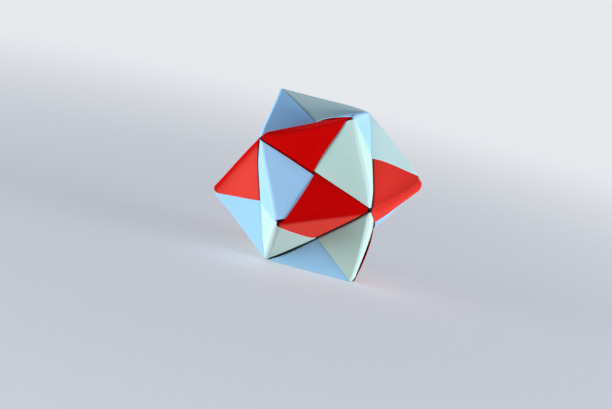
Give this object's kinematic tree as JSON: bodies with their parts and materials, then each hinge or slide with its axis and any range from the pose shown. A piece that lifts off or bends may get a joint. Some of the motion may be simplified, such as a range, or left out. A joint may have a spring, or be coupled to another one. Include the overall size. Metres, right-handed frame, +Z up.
{
  "type": "origami star cube",
  "caption": "Hollow folded-paper star whose points are the corners of a cube, made of interlocking units in three colours; an ornament or desk decoration",
  "frame": {"origin": "on the surface the star lies on, under its centre", "axes": "+Z up with the star at rest on one dimple's ridges and two points; +X along the line through the left and right dimples, its longest extent; -Y is the front"},
  "size_m": [0.0626, 0.0564, 0.0565],
  "materials": {
    "red_paper": "matte",
    "blue_paper": "matte",
    "mint_paper": "matte"
  },
  "bodies": {
    "root": {"red_unit_front_right": "red_paper", "red_unit_right_back": "red_paper", "red_unit_back_left": "red_paper", "red_unit_left_front": "red_paper", "blue_unit_front_top": "blue_paper", "blue_unit_top_back": "blue_paper", "blue_unit_back_bottom": "blue_paper", "blue_unit_bottom_front": "blue_paper", "mint_unit_right_top": "mint_paper", "mint_unit_top_left": "mint_paper", "mint_unit_left_bottom": "mint_paper", "mint_unit_bottom_right": "mint_paper"}
  },
  "joints": []
}
